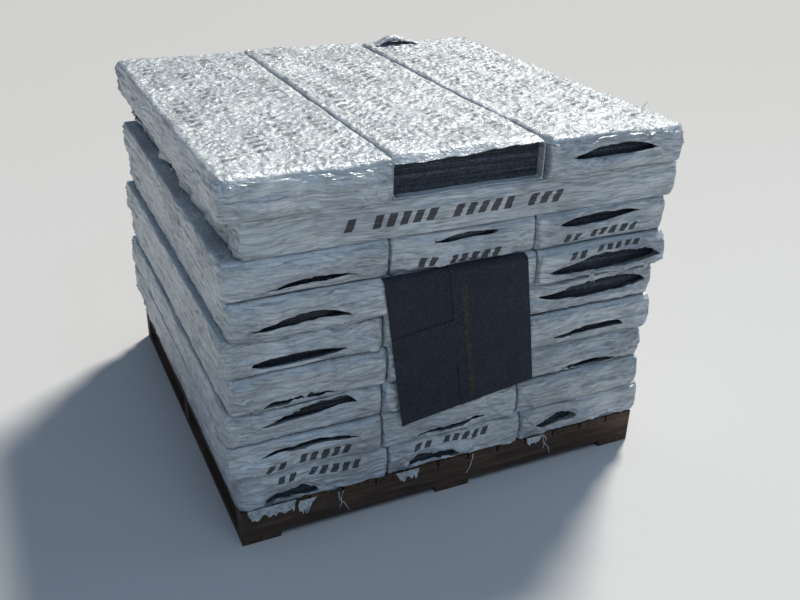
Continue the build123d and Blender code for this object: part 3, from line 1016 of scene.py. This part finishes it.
def gridSheet(wide, long):  # a flat sheet of that many rows, a metre square
    bm = bmesh.new()
    bmesh.ops.create_grid(bm, x_segments=wide, y_segments=long, size=0.5)
    flat = readVerts(bm)
    return bm, flat[:, 0], flat[:, 1]


def looseFilm(name, bm, points, thickness):
    moveVerts(bm, np.stack(points, 1))
    bmesh.ops.solidify(bm, geom=bm.faces, thickness=thickness)
    bmesh.ops.recalc_face_normals(bm, faces=bm.faces)
    filmObject(name, bm)


def looseFlap():
    bm, s, t = gridSheet(76, 34)
    s, t = s + 0.5, t + 0.5  # t runs from the open lip to the back
    peak = flapSizes["peak"]
    ridge = np.where(s < peak, stepUp(s, 0, peak), 1 - stepUp(s, peak, 1)) ** 0.9
    arch = ridge * (1 - t ** 2.2) * flapSizes["rise"]
    curl = np.exp(-t / 0.09) * flapSizes["curl"] * ridge
    wave = alongRow(s, 0.11, 5) + 0.6 * alongRow(s, 0.04, 6)
    (cornerX, cornerY), (width, length) = flapSizes["corner"], flapSizes["size"]
    x = cornerX + s * width * (1 - flapSizes["narrowing"] * t) + 0.030 * t
    y = cornerY + t * length + 0.004 * wave * (1 - t) - 0.02 * (s - 0.4)
    z = flapSizes["level"] + arch - curl
    crushing = samplePanel(crushed["top"], x + 0.2, y)
    x += crushing[:, 0]
    y += crushing[:, 1]
    z += crushing[:, 2] * 0.6 * np.clip(arch / 0.006, 0, 1)
    looseFilm("loose_flap", bm, [x, y, z], flapSizes["thickness"])


def tornFilm(index, start, width, drop, taper, lean, curl):
    wide = max(2, int(width / tornSizes["mesh"]))
    bm, u, s = gridSheet(wide, tornSizes["rows"])
    s = 0.5 - s
    ragged = 1 - 0.45 * (0.5 + 0.5 * alongRow(u * width, 0.006, index + 90)) if wide > 3 else 1
    s = s * ragged
    sway = alongRow(s, 0.35, index + 60)
    x = start[0] + u * width * (1 - taper * s) + lean * s * abs(drop) + 0.10 * drop * sway
    spot = np.stack([x, x * 0, s * 0.05], 1)
    fold = softNoise(spot, (0.009, 1, 0.02), index + 70) * min(0.003, width * 0.15)
    y = start[1] - curl * s ** 1.5 - fold * s
    looseFilm(f"torn_film_{index}", bm, [x, y, start[2] - drop * s], tornSizes["thickness"])


looseFlap()
for index, shape in enumerate(tatters):
    tornFilm(index, *shape)
print("loose film")

# floor, light and camera

floorColour = (0.58, 0.60, 0.62)
worldLook = {"colour": (0.56, 0.73, 0.98), "strength": 0.205}
lamps = {  # kind, place, aimed at, power, colour, spread or size
    "key": ("SUN", (2.3, 1.9, 4.3), (0, 0, 0.6), 3.85, (1.0, 0.92, 0.81), math.radians(11)),
    "sky": ("AREA", (-0.7, -2.5, 3.5), (0, -0.3, 0.4), 30, (0.70, 0.84, 1.0), (3.4, 2.2)),
    "side": ("AREA", (3.6, -1.0, 2.6), (0, 0, 0.4), 12, (0.74, 0.87, 1.0), (2.0, 2.0)),
}
cameraLook = {"position": (-0.886, -2.038, 1.395), "yaw": 25.7, "pitch": 26.9, "roll": 1.66, "lens": 41.0}


def makeFloor():
    bm = bmesh.new()
    bmesh.ops.create_grid(bm, x_segments=1, y_segments=1, size=40)
    material, tree, shader = newMaterial("paleFloor")
    shader.inputs["Base Color"].default_value = (*floorColour, 1)
    shader.inputs["Roughness"].default_value = 0.9
    floor = meshPiece("floor", bm, material)


def makeLamp(name, kind, position, target, power, colour, size):
    light = bpy.data.lights.new(name, kind)
    light.energy = power
    light.color = colour
    if kind == "SUN":
        light.angle = size
    else:
        light.shape = "RECTANGLE"
        light.size, light.size_y = size
    lamp = bpy.data.objects.new(name, light)
    lamp.location = position
    lamp.rotation_euler = (Vector(target) - Vector(position)).to_track_quat("-Z", "Y").to_euler()
    bpy.context.scene.collection.objects.link(lamp)


def makeWorld():
    world = bpy.data.worlds.new("studio")
    bpy.context.scene.world = world
    world.use_nodes = True
    background = world.node_tree.nodes["Background"]
    background.inputs["Color"].default_value = (*worldLook["colour"], 1)
    background.inputs["Strength"].default_value = worldLook["strength"]


def makeCamera():
    yaw, pitch, roll = (math.radians(cameraLook[k]) for k in ("yaw", "pitch", "roll"))
    ahead = Vector((math.sin(yaw) * math.cos(pitch), math.cos(yaw) * math.cos(pitch), -math.sin(pitch)))
    side = Vector((math.cos(yaw), -math.sin(yaw), 0))
    up = side.cross(ahead)
    right = math.cos(roll) * side + math.sin(roll) * up
    above = -math.sin(roll) * side + math.cos(roll) * up
    data = bpy.data.cameras.new("camera")
    data.lens = cameraLook["lens"]
    data.sensor_width = 36
    camera = bpy.data.objects.new("camera", data)
    turn = Matrix((right, above, -ahead)).transposed()
    camera.matrix_world = Matrix.Translation(cameraLook["position"]) @ turn.to_4x4()
    bpy.context.scene.collection.objects.link(camera)
    bpy.context.scene.camera = camera


makeFloor()
for name, look in lamps.items():
    makeLamp(name, *look)
makeWorld()
makeCamera()
bpy.context.scene.view_settings.view_transform = "Standard"
print("stage, lights and camera made")
